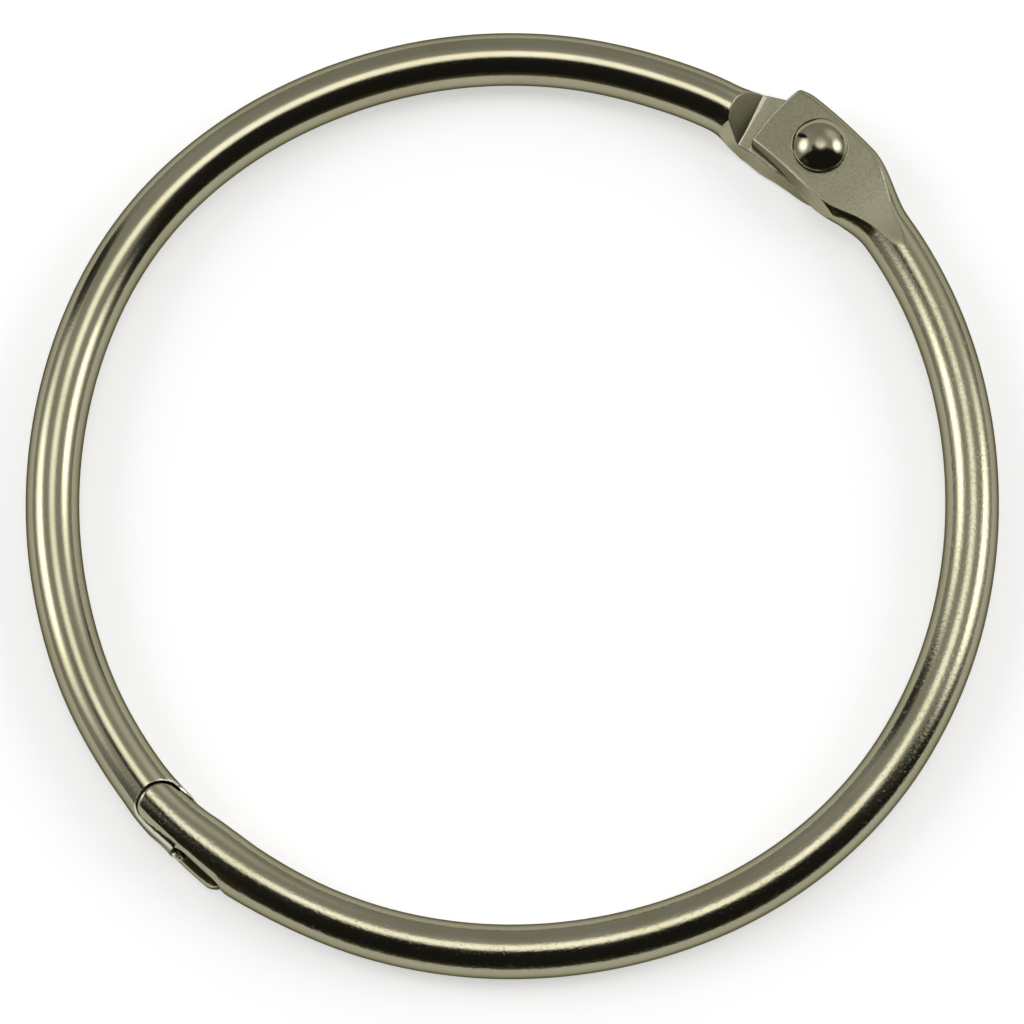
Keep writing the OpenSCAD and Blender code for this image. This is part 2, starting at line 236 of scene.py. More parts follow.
def fall(x, end, length):
    """1 until end - length, 0 from end on."""
    return smooth((end - x) / length)


def on(distance, slack, fade):
    """1 within slack of a surface, 0 further off than slack + fade."""
    return 1 - smooth((np.abs(distance) - slack) / fade)


def mix(a, b, t):
    return a + (b - a) * t


def curve(points, x):
    """A smooth curve through a few points, level beyond its ends."""
    px, py = np.array(points, float).T
    slope = np.gradient(py, px)
    slope[0] = slope[-1] = 0
    x = np.clip(x, px[0], px[-1])
    k = np.clip(np.searchsorted(px, x, side="right") - 1, 0, len(px) - 2)
    h = px[k + 1] - px[k]
    t = (x - px[k]) / h
    a = py[k] * (1 + 2 * t) * (1 - t) ** 2 + py[k + 1] * t * t * (3 - 2 * t)
    return a + h * (slope[k] * t * (1 - t) ** 2 - slope[k + 1] * t * t * (1 - t))


def both(a, b, r):
    """The solid that is in a and in b, with its edge rounded to r."""
    return np.minimum(-r, np.maximum(a, b)) + np.hypot(np.maximum(a + r, 0), np.maximum(b + r, 0))


def either(a, b, r):
    return -both(-a, -b, r)


def less(a, b, r):
    """a with b cut out of it, and the edge rounded to r."""
    return both(a, -b, r)


class Half:
    """One half ring, worked out with its outer face up, as in the CAD source."""

    def __init__(self, upper, crown, sides, hinge_dir, nose_dir, nose, mate,
                 wander, wire, flank, tab_flank):
        self.upper, self.crown, self.hinge_dir = upper, crown, hinge_dir
        self.nose_r, self.nose_at, self.blunt = nose
        self.tab_flank = tab_flank
        self.ck = CROWN_OFF * unit(crown)
        self.ch, self.cc = sides
        self.hinge = HINGE if upper else flip(HINGE)
        self.u1 = math.radians(hinge_dir - crown - CROWN_HALF) * SIDE_R
        self.u2 = self.u1 + math.radians(2 * CROWN_HALF) * CROWN_R
        self.u3 = self.u2 + math.radians(crown - CROWN_HALF - nose_dir) * SIDE_R
        self.mate_centre, self.mate_dir, mate_nose_form, self.mate_flank = mate
        self.mate_r, self.mate_at, self.mate_blunt = mate_nose_form
        self.wander, self.wire, self.flank = wander, wire, flank
        mate_nose = self.mate_centre + SIDE_R * unit(self.mate_dir)
        mate_nose_dir = near(angle_of(mate_nose - self.cc), nose_dir)
        self.lap_end = math.radians(mate_nose_dir - nose_dir) * SIDE_R - RIM_L

    def place(self, u, n, z):
        """Along the wire, outwards and up, to x, y and z."""
        n = n + curve(self.wander, u)
        a_h = np.radians(self.hinge_dir) - u / SIDE_R
        a_k = np.radians(self.crown + CROWN_HALF) - (u - self.u1) / CROWN_R
        a_c = np.radians(self.crown - CROWN_HALF) - (u - self.u2) / SIDE_R
        out = []
        for k, f in ((0, np.cos), (1, np.sin)):
            h = self.ch[k] + (SIDE_R + n) * f(a_h)
            m = self.ck[k] + (CROWN_R + n) * f(a_k)
            c = self.cc[k] + (SIDE_R + n) * f(a_c)
            out.append(np.where(u < self.u1, h, np.where(u < self.u2, m, c)))
        return np.stack([out[0], out[1], z + 0 * out[0]], -1)

    def read(self, x, y):
        """x and y to along the wire and outwards."""
        def polar(c, near_deg):
            a = np.degrees(np.arctan2(y - c[1], x - c[0]))
            return a + 360 * np.round((near_deg - a) / 360), np.hypot(x - c[0], y - c[1])
        ak, rk = polar(self.ck, self.crown)
        ah, rh = polar(self.ch, self.crown + CROWN_HALF + SIDE_TURN)
        ac, rc = polar(self.cc, self.crown - CROWN_HALF - SIDE_TURN)
        on_h, on_c = ak > self.crown + CROWN_HALF, ak < self.crown - CROWN_HALF
        u = np.where(on_h, np.radians(self.hinge_dir - ah) * SIDE_R,
                     np.where(on_c, self.u2 + np.radians(self.crown - CROWN_HALF - ac) * SIDE_R,
                              self.u1 + np.radians(self.crown + CROWN_HALF - ak) * CROWN_R))
        n = np.where(on_h, rh - SIDE_R, np.where(on_c, rc - SIDE_R, rk - CROWN_R))
        return u, n - curve(self.wander, u)

    def solid(self, p):
        """About the distance to the half's surface, below 0 inside."""
        x, y, z = p[..., 0], p[..., 1], p[..., 2]
        u, n = self.read(x, y)
        s = self.u3 - u
        d = self.oval(u, n, z, s)
        tab, clasp = u < TAB_REACH, s < CLASP_REACH
        if tab.any():
            d = np.where(tab, self.pressed_tab(d, x, y, z, u, n), d)
        if clasp.any():
            d = np.where(clasp, self.pressed_lap(d, x, y, z, s, n), d)
        return d

    def shine(self, p):
        """How satin, dull, worn and crushed the surface is. The worn strip and line, and the crushed lumps,
        are painted bright later, partly as highlights.
        """
        x, y, z = p[:, 0], p[:, 1], p[:, 2]
        u, n = self.read(x, y)
        s = self.u3 - u
        # the pressed faces stay bright near the wire's own skin inside the ring, and round the rivet's head
        pressed = rise(-self.oval(u, n, z, s), *SKIN_BRIGHT)
        pressed = np.where((n < 0) & (u < BRIGHT_TO), pressed, 1)
        if self.upper:
            head_x, head_y = self.hinge[0] + HEAD_SHIFT[0], self.hinge[1] + HEAD_SHIFT[1]
            pressed = pressed * rise(np.hypot(x - head_x, y - head_y) - HEAD_R, *HEAD_BRIGHT)
        v = self.beyond(u, n, RAMP_FOOT)
        on_top = on(z - self.die(u, n), *ON_DIE)
        on_mate = on(z - MATE_Z, *ON_MATE) * (v < MATE_TO)
        # the strip along the ramp's foot is painted bright: burnishing and a painted highlight
        rubbed_highlight_strip = on_mate * smooth(v / STRIP_FADE + 0.5)
        on_ramp = on(self.ramp(v, n, z), *ON_DIE) * rise(v - self.foot(n), STRIP_START, RAMP_FADE)
        dull = np.where(u < DULL_TO, np.maximum(on_top, on_mate) * pressed * (1 - rubbed_highlight_strip), 0)
        satin = np.maximum(dull, np.where(u < RAMP_TO, RAMP_SATIN * on_ramp, 0))
        worn, crushed = RUB_AND_HIGHLIGHT * np.where(u < RAMP_TO, rubbed_highlight_strip, 0), 0 * z
        dull = dull * curve(PRESSED, u)
        if not self.upper:
            # a line beside the upper tab's flank is painted bright: burnishing and a painted highlight
            rubbed_highlight_line = smooth((RUB_W - n - curve(RUB, u)) / RUB_FADE) * rise(u, *RUB_START) * fall(u, *RUB_END)
            worn = np.maximum(worn, RUB_AND_HIGHLIGHT * rubbed_highlight_line * on_mate)
            dull = dull * (1 - RUB_AND_HIGHLIGHT * rubbed_highlight_line * on_mate)
            # the crushed lumps are bumped, and are also painted bright later as painted glints
            for at in NIB_AT:
                reach = np.sqrt((s - at[0]) ** 2 + (n - at[1]) ** 2 + (z - at[2]) ** 2)
                crushed = np.maximum(crushed, on(reach, NIB_R, NIB_FADE))
        return satin, dull, worn, crushed

    def beyond(self, u, n, start):
        """The straight distance past a line across the wire."""
        return (SIDE_R + n) * np.sin((u - start) / SIDE_R)

    def ramp(self, v, n, z):
        """The distance from the ramp, above 0 on the mate's side."""
        return (-RAMP_DROP * (v - self.foot(n)) - RAMP_L * (z - MATE_Z)) / math.hypot(RAMP_DROP, RAMP_L)

    def die(self, u, n):
        """The height of the outer die's face: the tab's flat, then its rise to the wire."""
        v = self.beyond(u, n, DIE_START)
        height = OUTER_Z + DIE_R - np.sqrt(DIE_R ** 2 - np.clip(v, 0, DIE_R - 1) ** 2)
        return np.where(v < 0, OUTER_Z, height)

    def oval(self, u, n, z, s):
        """Round wire, wider beside the pocket, and a flat oval at the tab."""
        press = 1 - smooth((u - TAB_FULL) / (TAB_ROOT - TAB_FULL))
        wire = np.where(n < 0, curve(self.wire[0], s), curve(self.wire[1], s))
        w = mix(wire, np.where(n < 0, TAB_W_IN, TAB_W), press)
        w = np.where(u < 0, mix(w, TAB_END_W, smooth((-u - TAB_FULL) / TAB_FULL)), w)
        zz = z - mix(0, TAB_MID, press)
        steep = (n < 0) * (1 - rise(u, STEEP_END, STEEP_FADE) if self.upper else 1)
        outer = mix(WIRE_R, mix(FLANK_OUTER, FLANK_STEEP, steep), press)
        h = np.where(zz > 0, outer, mix(WIRE_R, FLANK_INNER, press))
        k = np.sqrt((n / w) ** 2 + (zz / h) ** 2) + TINY
        return k * (k - 1) / (np.sqrt((n / w ** 2) ** 2 + (zz / h ** 2) ** 2) + TINY)

    def foot(self, n):
        """The width of the strip along the ramp's foot, painted bright as burnishing and as a highlight."""
        return FOOT_MIN + FOOT_SPREAD * np.clip(n + 1, 0, 4)

    def rounded_end(self, a, past, r, blunt):
        """The plan of a nose: half an oval, then straight sides that spread a little."""
        q = np.hypot(a, blunt * past)
        oval = q * (q - r) / (np.hypot(a, blunt ** 2 * past) + TINY)
        return np.where(past < 0, oval, np.abs(a) - r - NOSE_SPREAD * np.maximum(past, 0))

    def pressed_tab(self, d, x, y, z, u, n):
        """The wire's end as the dies leave it: flat faces, flanks, ramp, end and rivet hole."""
        v = self.beyond(u, n, DIE_START)
        top = np.where(v < 0, z - OUTER_Z, DIE_R - np.hypot(v, z - OUTER_Z - DIE_R))
        d = both(d, top, ROUND_DIE)
        if self.upper:
            # a thin burr stands along the outer edge of the flat, where it narrows
            line = np.hypot(n - curve(FLAT_OUT, u), z - self.die(u, n) + BURR_SINK)
            burr = line - BURR_R * rise(u, *BURR_START) * fall(u, *BURR_END) + BURR_THIN
            d = either(d, burr, ROUND_THIN)
        a, b = (SIDE_R + n) * np.cos(u / SIDE_R) - SIDE_R, (SIDE_R + n) * np.sin(u / SIDE_R)
        # the inner flank, steep below the face that is seen
        edge, spread = (curve(k, u) for k in self.tab_flank)
        below = np.maximum(OUTER_Z - z if self.upper else z - MATE_Z, 0)
        flank = (-n - edge - spread * below) / np.sqrt(1 + spread ** 2)
        if self.upper:
            d = both(d, (z - OUTER_Z - n - curve(UPPER_SLANT, u)) * math.sqrt(0.5), ROUND_EDGE)
        else:
            # past the face between the tabs the flank leans in, and its corner at the end is round
            lean = rise(u, *LEAN_START) * fall(u, *LEAN_END) * LEAN
            flank = flank + lean * np.maximum(MATE_Z - z, 0)
            corner = np.where(b < END_FROM, np.hypot(a, b) - LOWER_CORNER_R, FAR_INSIDE)
            flank = both(flank, corner, LOWER_CORNER_ROUND)
        d = both(d, flank, ROUND_EDGE)
        # the inner die: the face between the tabs, and the ramp
        v = self.beyond(u, n, RAMP_FOOT)
        face = z - MATE_Z - FOOT_SLOPE * np.maximum(v, 0)
        d = less(d, both(face, -self.ramp(v, n, z), ROUND_THIN), ROUND_DIE)
        # the end, and the hole with the tail's countersink
        if self.upper:
            end = np.hypot(a - UPPER_END[0], b - UPPER_END[1]) - UPPER_END[2]
        else:
            end = np.hypot(a, b) - LOWER_END_R
        d = np.where(b < END_FROM, both(d, end, ROUND_DIE), d)
        rho = np.hypot(x - self.hinge[0], y - self.hinge[1])
        d = less(d, rho - (BORE_R if self.upper else SHANK_R), ROUND_EDGE)
        if not self.upper:
            flare = (TAIL_R - SHANK_R) / TAIL_SINK
            sink = (rho - SHANK_R - flare * (z - OUTER_Z + TAIL_SINK)) / math.hypot(1, flare)
            d = less(d, sink, ROUND_THIN)
        return d

    def pressed_lap(self, d, x, y, z, s, n):
        """The tongue: nose and flanks, the lap face, the pocket for the other nose, and the catch."""
        a, b = (SIDE_R + n) * np.cos(s / SIDE_R) - SIDE_R, (SIDE_R + n) * np.sin(s / SIDE_R)
        side = np.where(n < 0, -n - curve(self.flank[0], s), n - curve(self.flank[1], s))
        nose = self.rounded_end(a, b - self.nose_at, self.nose_r, self.blunt)
        outline = both(side, nose, np.where(n > 0, NOSE_CORNER, ROUND_EDGE))
        if self.upper:
            d = both(d, outline, mix(ROUND_EDGE, NOSE_ROUND, fall(s, *NOSE_ROUND_END)))
            d = both(d, self.bevel(z, s, n), ROUND_SHARP)
        else:
            d = both(d, outline, ROUND_EDGE)
            # the crest of the thin inner rim is rubbed flat
            rim = rise(-n, *CREST_N) * rise(s, *CREST_START) * fall(s, *CREST_END)
            d = both(d, -z - CREST_Z - CREST_AWAY * (1 - rim), ROUND_SHARP)
        # the lap face, which falls away outwards, as far as the rims' ends and in the pocket
        slant = (LAP_Z + (n - FALL_N) * FALL_SLOPE - z) / math.hypot(1, FALL_SLOPE)
        below = -np.maximum(LAP_Z - z, slant)
        end = s - self.lap_end
        if not self.upper:
            inner_end = (s - INNER_RIM_AT - INNER_RIM_SLOPE * (z - LAP_Z)) / INNER_RIM_SCALE
            end = mix(end + RIM_SHORTER, inner_end, rise(-n, INNER_RIM_N, INNER_RIM_FADE))
        cut = both(np.minimum(end, self.pocket(x, y)), below, POCKET_ROUND)
        broad = 0
        if not self.upper:
            broad = rise(n, *BROAD_N) * (1 - rise(s, *BROAD_END)) * rise(s, *BROAD_START)
        d = less(d, cut, mix(POCKET_ROUND, OUTER_RIM_ROUND, broad))
        return self.catch(d, z, s, n)

    def bevel(self, z, s, n):
        """The bevel on the outer flank of the upper tongue."""
        at = curve(BEVEL_AT, s)
        wire_z = np.sqrt(WIRE_R ** 2 - at ** 2)
        bevel = (n - at) * math.sin(BEVEL) + (z - wire_z) * math.cos(BEVEL)
        return bevel - BEVEL_LIFT * rise(s, BEVEL_TO, BEVEL_FADE)

    def pocket(self, x, y):
        """The outline of the mate's nose, with its gap. Inwards and outwards are the same for the mate."""
        mx, my = x - self.mate_centre[0], y - self.mate_centre[1]
        mr = np.hypot(mx, my)
        ma = np.degrees(np.arctan2(my, mx))
        ma = ma + 360 * np.round((self.mate_dir - ma) / 360)
        ms, mn = np.radians(self.mate_dir - ma) * SIDE_R, mr - SIDE_R
        wall = np.where(mn < 0, -mn - curve(self.mate_flank[0], ms), mn - curve(self.mate_flank[1], ms))
        a, past = mr * np.cos(ms / SIDE_R) - SIDE_R, mr * np.sin(ms / SIDE_R) - self.mate_at
        round_end = self.rounded_end(a, past, self.mate_r, self.mate_blunt)
        return both(wall, round_end, np.where(mn > 0, NOSE_CORNER, ROUND_EDGE)) - POCKET_GAP

    def catch(self, d, z, s, n):
        """The cross tooth on the lower half, with its crushed outer end; its groove in the upper half."""
        at = s - (CATCH_L if self.upper else LAP_L - CATCH_L)
        if self.upper:
            groove = np.maximum(np.abs(at) - CATCH_W / 2 - GROOVE_PLAY, z - LAP_Z - CATCH_H)
            return less(d, groove, ROUND_EDGE)
        bar = np.maximum(np.abs(at) - CATCH_W / 2, np.maximum(LAP_Z - CATCH_H - z, z - CATCH_ROOT))
        bar = np.maximum(bar, np.maximum(n - CATCH_REACH, -n - CATCH_IN))
        d = either(d, bar, ROUND_EDGE)
        for turned, at in enumerate(NIB_AT):
            lump = np.full_like(d, FAR_INSIDE)
            for along_wire, out, up, reach in NIB_FACETS:
                along_wire = -along_wire if turned else along_wire
                facet = along_wire * (s - at[0]) + out * (n - at[1]) + up * (z - at[2]) - reach
                lump = np.maximum(lump, facet)
            d = either(d, lump, ROUND_SHARP)
        return d


UPPER_FORM = UPPER_NOSE_R, UPPER_NOSE_AT, UPPER_BLUNT
LOWER_FORM = LOWER_NOSE_R, 0, LOWER_BLUNT
UPPER_FLANK = UPPER_FLANK_IN, UPPER_FLANK_OUT
LOWER_FLANK = LOWER_FLANK_IN, LOWER_FLANK_OUT
# What each half meets at the clasp: the other side bend's centre, its nose's direction, form and flanks.
UPPER_MATE = flip(LOWER_SIDES[1]), -LOWER_NOSE_DIR - 360, LOWER_FORM, LOWER_FLANK
LOWER_MATE = flip(UPPER_SIDES[1]), -NOSE_DIR - 360, UPPER_FORM, (UPPER_FLANK_IN, POCKET_OUT)
UPPER = Half(True, UPPER_CROWN, UPPER_SIDES, HINGE_DIR, NOSE_DIR, UPPER_FORM, UPPER_MATE,
             UPPER_WANDER, (UPPER_WIRE_IN, UPPER_WIRE_OUT), UPPER_FLANK, (UPPER_EDGE, UPPER_SPREAD))
LOWER = Half(False, LOWER_CROWN, LOWER_SIDES, LOWER_HINGE_DIR, LOWER_NOSE_DIR, LOWER_FORM, LOWER_MATE,
             LOWER_WANDER, (LOWER_WIRE_IN, LOWER_WIRE_OUT), LOWER_FLANK, (LOWER_EDGE, LOWER_SPREAD))


# ---------------------------------------------------------------- meshes
# Steps of the grid along the wire at its ends, across it, and along it between the ends.
FINE, CROSS, COARSE = 0.095, 0.09, 1.2
TAB_GRID, CLASP_BACK, CLASP_ON = (-5.7, 12.6), 11.6, 2.6
ACROSS, UPWARDS = (-4.31, 4.0), (-2.65, 2.7)
# How the mesh's points are moved on to the surface, and the steps that slopes are taken over.
ROUNDS, SHARE, STEP_MAX, SLOPE_MIN = 4, 0.9, 0.1, 0.2
GRADIENT_STEP, NORMAL_STEP = 0.004, 0.015


def gradient(f, p, e):
    """How fast f rises at p, along x, y and z."""
    g = np.empty_like(p)
    for k in range(3):
        q = p.copy()
        q[..., k] += e
        r = p.copy()
        r[..., k] -= e
        g[..., k] = (f(q) - f(r)) / (2 * e)
    return g


def mesh_of(half, us, ns, zs):
    """A closed quad mesh of the half's surface, on a grid that follows the wire."""
    grid = [us, ns, zs]
    U, N, Z = np.meshgrid(us, ns, zs, indexing="ij")
    D = half.solid(half.place(U, N, Z))
    D[0], D[-1] = 1, 1
    D[:, 0], D[:, -1], D[:, :, 0], D[:, :, -1] = 1, 1, 1, 1
    inside = D < 0
    cells = tuple(k - 1 for k in D.shape)
    total, count = np.zeros(cells + (3,)), np.zeros(cells)
    crossings = []
    for axis in range(3):
        lo, hi = [slice(None)] * 3, [slice(None)] * 3
        lo[axis], hi[axis] = slice(0, -1), slice(1, None)
        a, b = D[tuple(lo)], D[tuple(hi)]
        at = list(np.nonzero((a < 0) != (b < 0)))
        t = a[tuple(at)] / (a[tuple(at)] - b[tuple(at)])
        pos = np.stack([grid[k][at[k]] for k in range(3)], -1)
        pos[:, axis] += t * (grid[axis][at[axis] + 1] - grid[axis][at[axis]])
        crossings.append((at, inside[tuple(at)]))
        for d0 in (0, -1):
            for d1 in (0, -1):
                cell, ok = beside(at, axis, d0, d1, cells)
                np.add.at(total, tuple(c[ok] for c in cell), pos[ok])
                np.add.at(count, tuple(c[ok] for c in cell), 1)
    used = count > 0
    index = -np.ones(cells, int)
    index[used] = np.arange(used.sum())
    mid = total[used] / count[used][:, None]
    p = half.place(mid[:, 0], mid[:, 1], mid[:, 2])
    for _ in range(ROUNDS):
        g = gradient(half.solid, p, GRADIENT_STEP)
        step = np.clip(half.solid(p) / np.maximum((g * g).sum(-1), SLOPE_MIN), -STEP_MAX, STEP_MAX)
        p = p - SHARE * step[:, None] * g
    quads = []
    for axis, (at, ins) in enumerate(crossings):
        corners, keep = [], np.ones(len(ins), bool)
        for d0, d1 in ((-1, -1), (0, -1), (0, 0), (-1, 0)):
            cell, ok = beside(at, axis, d0, d1, cells)
            keep &= ok
            corners.append(index[tuple(np.clip(c, 0, m - 1) for c, m in zip(cell, cells))])
        quad = np.stack(corners, -1)
        turn = ~(ins if axis != 1 else ~ins)
        quad[turn] = quad[turn][:, ::-1]
        quads.append(quad[keep])
    return p, np.concatenate(quads)


def beside(at, axis, d0, d1, cells):
    """The cells on one side of some grid edges, and which of them exist."""
    cell = [c.copy() for c in at]
    others = [k for k in range(3) if k != axis]
    cell[others[0]] += d0
    cell[others[1]] += d1
    ok = np.ones(len(at[0]), bool)
    for k in others:
        ok &= (cell[k] >= 0) & (cell[k] < cells[k])
    return cell, ok


# ---------------------------------------------------------------- materials
NICKEL, NICKEL_DULL = (0.345, 0.328, 0.228), (0.31, 0.29, 0.19)
# the bright worn colour below is also the painted highlight on edges, the ramp's foot strip, the rub line,
# the crushed lumps and the rivet's lip
NICKEL_PRESSED, NICKEL_WORN_AND_HIGHLIGHT = (0.21, 0.2, 0.131), (0.62, 0.6, 0.5)
EDGE_TINT = (0.2, 0.2, 0.18, 1)
SATIN_ROUGH = 0.4

# Noises, as (scale to the mm, the share of it along the wire, detail).
STAINS, BRUSHING, DRAWING = (0.3, 0.5, 3.0), (5.0, 0.7, 3.0), (1.1, 0.15, 3.0)
LINES, PEBBLE, PITS, CRUSHING = (8.0, 0.04, 2.0), (4.5, 0.8, 3.0), (7.0, 0.8, 1.0), (5.0, 1.0, 1.0)
# The spans of the noises that are used, how uneven the roughness is, and the crushed end's depth in m.
STAIN_SPAN, PIT_SPAN, ROUGH_SPAN = (0.4, 0.75), (0.66, 0.8), (0.3, 0.7)
SMOOTHER, ROUGHER = 0.85, 1.15
CRUSH = 60e-6


def math_node(nodes, links, operation, *values):
    node = nodes.new("ShaderNodeMath")
    node.operation = operation
    for k, value in enumerate(values):
        if isinstance(value, (int, float)):
            node.inputs[k].default_value = value
        else:
            links.new(value, node.inputs[k])
    return node.outputs[0]


def range_node(nodes, links, value, lo, hi, a=0.0, b=1.0, soft=False):
    node = nodes.new("ShaderNodeMapRange")
    node.interpolation_type = "SMOOTHSTEP" if soft else "LINEAR"
    for key, number in (("From Min", lo), ("From Max", hi), ("To Min", a), ("To Max", b)):
        node.inputs[key].default_value = number
    links.new(value, node.inputs["Value"])
    return node.outputs["Result"]


def colour_mix(nodes, links, mask, a, b):
    node = nodes.new("ShaderNodeMix")
    node.data_type = "RGBA"
    links.new(mask, node.inputs["Factor"])
    for value, k in ((a, 6), (b, 7)):
        if isinstance(value, tuple):
            node.inputs[k].default_value = (*value, 1)
        else:
            links.new(value, node.inputs[k])
    return node.outputs[2]


def nickel(name, rough, pebble, pits, lines):
    """Warm bright nickel plate on steel, satin where a die has pressed it. Depths are in metres."""
    material = bpy.data.materials.new(name)
    material.use_nodes = True
    nodes, links = material.node_tree.nodes, material.node_tree.links
    shader = nodes["Principled BSDF"]
    shader.inputs["Metallic"].default_value = 1.0
    shader.inputs["Specular Tint"].default_value = EDGE_TINT

    def attribute(key, output):
        node = nodes.new("ShaderNodeAttribute")
        node.attribute_name = key
        return node.outputs[output]

    flow = attribute("flow", "Vector")
    satin, dull, edge, crushed = (attribute(key, "Fac") for key in ("satin", "dull", "edge", "crushed"))

    def noise(scale, stretch, detail):
        place = nodes.new("ShaderNodeMapping")
        place.inputs["Scale"].default_value = (scale * stretch, scale, scale)
        links.new(flow, place.inputs["Vector"])
        node = nodes.new("ShaderNodeTexNoise")
        node.inputs["Scale"].default_value = 1.0
        node.inputs["Detail"].default_value = detail
        links.new(place.outputs["Vector"], node.inputs["Vector"])
        return node.outputs["Fac"]

    def calc(operation, *values):
        return math_node(nodes, links, operation, *values)

    def span(value, lo, hi, a=0.0, b=1.0):
        return range_node(nodes, links, value, lo, hi, a, b)

    # slow patches of duller, browner plate, darker pressed faces, and bright edges, which are worn edges
    # and painted highlights
    stain = span(noise(*STAINS), *STAIN_SPAN)
    colour = colour_mix(nodes, links, stain, NICKEL, NICKEL_DULL)
    colour = colour_mix(nodes, links, dull, colour, NICKEL_PRESSED)
    colour = colour_mix(nodes, links, edge, colour, NICKEL_WORN_AND_HIGHLIGHT)
    links.new(colour, shader.inputs["Base Color"])
    # roughness: a little uneven along the wire, more on the pressed faces
    brushed = span(noise(*BRUSHING), *ROUGH_SPAN, SATIN_ROUGH * SMOOTHER, SATIN_ROUGH * ROUGHER)
    drawn = span(noise(*DRAWING), *ROUGH_SPAN, rough * SMOOTHER, rough * ROUGHER)
    pressed = calc("MULTIPLY", satin, brushed)
    unpressed = calc("MULTIPLY", calc("SUBTRACT", 1.0, satin), drawn)
    links.new(calc("ADD", pressed, unpressed), shader.inputs["Roughness"])
    # bump: drawing lines, plating pebble, small pits and the crushed end of the catch
    normal = None
    heights = ((noise(*LINES), lines), (noise(*PEBBLE), pebble), (span(noise(*PITS), *PIT_SPAN), -pits),
               (calc("MULTIPLY", crushed, noise(*CRUSHING)), CRUSH))
    for height, depth in heights:
        node = nodes.new("ShaderNodeBump")
        node.inputs["Distance"].default_value = abs(depth)
        node.invert = depth < 0
        links.new(height, node.inputs["Height"])
        if normal:
            links.new(normal, node.inputs["Normal"])
        normal = node.outputs["Normal"]
    links.new(normal, shader.inputs["Normal"])
    return material


# ---------------------------------------------------------------- pieces
MM, SHARP = 0.001, math.radians(35)
# An edge shows where a point this deep under the surface is nearer to it than EDGE_NEAR. Edges are painted
# bright, partly as wear and partly as painted highlights.
EDGE_DEPTH, EDGE_NEAR, EDGE_FADE = 0.2, 0.17, 0.1

# The rivet's steps round, how far the dome's arc stops short in degrees, and the lip's flattening.
RIVET_STEPS, DOME_SHORT, LIP_FLAT = 128, 2.5, 0.6
# The rivet's looks: bright lip, painted as wear and as a highlight, rubbed dome, and satin tail.
LIP_SPREAD, LIP_BRIGHT = 0.1, 0.1
DOME_WORN, DOME_SPREAD, DOME_DULL, DOME_BUMPY = 0.75, 0.6, 0.3, 0.1
TAIL_SATIN = 0.6, 0.2


def make_piece(name, verts, faces, attributes, normals, material, body, node):
    mesh = bpy.data.meshes.new(name)
    mesh.from_pydata(verts.tolist(), [], faces)
    mesh.update()
    mesh.shade_smooth()
    if normals is None:
        mesh.set_sharp_from_angle(angle=SHARP)
    else:
        mesh.normals_split_custom_set_from_vertices(normals.tolist())
    for key, values in attributes.items():
        kind, field = ("FLOAT_VECTOR", "vector") if values.ndim == 2 else ("FLOAT", "value")
        data = mesh.attributes.new(key, kind, "POINT").data
        data.foreach_set(field, values.astype(np.float32).ravel())
    mesh.materials.append(material)
    piece = bpy.data.objects.new(name, mesh)
    scene.collection.objects.link(piece)
    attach(piece, body)
    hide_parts(node)


def grid_lines(half):
    """Steps along the wire: close together at the tab and the clasp, wide apart between them."""
    tab = np.arange(*TAB_GRID, FINE)
    clasp = np.arange(half.u3 - CLASP_BACK, half.u3 + CLASP_ON, FINE)
    wire = np.linspace(tab[-1], clasp[0], int(round((clasp[0] - tab[-1]) / COARSE)) + 1)[1:-1]
    return np.concatenate([tab, wire, clasp])


def make_half(half, name, material, body, node):
    across, upwards = np.arange(*ACROSS, CROSS), np.arange(*UPWARDS, CROSS)
    p, quads = mesh_of(half, grid_lines(half), across, upwards)
    g = gradient(half.solid, p, NORMAL_STEP)
    g /= np.maximum(np.linalg.norm(g, axis=-1), 1e-6)[:, None]
    u, n = half.read(p[:, 0], p[:, 1])
    edge = rise(half.solid(p - EDGE_DEPTH * g), -EDGE_NEAR, EDGE_FADE)
    flow = np.stack([u, n, p[:, 2]], -1)
    # the lower half is turned over, half a turn about x
    turn = np.array([1, 1, 1] if half.upper else [1, -1, -1])
    verts = (p * turn + np.array([0, 0, HALF_H])) * MM
    satin, dull, worn, crushed = half.shine(p)
    # edges, the foot strip, the rub line and the crushed lumps all take the bright colour: partly wear,
    # partly painted highlights
    edge = np.maximum(np.maximum(edge, worn), crushed)
    shown = {"flow": flow, "satin": satin, "dull": dull, "edge": edge, "crushed": crushed}
    make_piece(name, verts, quads.tolist(), shown, g * turn, material, body, node)


def arc(cr, cz, r, a0, a1, count):
    """Points of a circle in a profile, with angles in degrees from outwards."""
    return [(cr + r * math.cos(a), cz + r * math.sin(a)) for a in np.radians(np.linspace(a0, a1, count))]


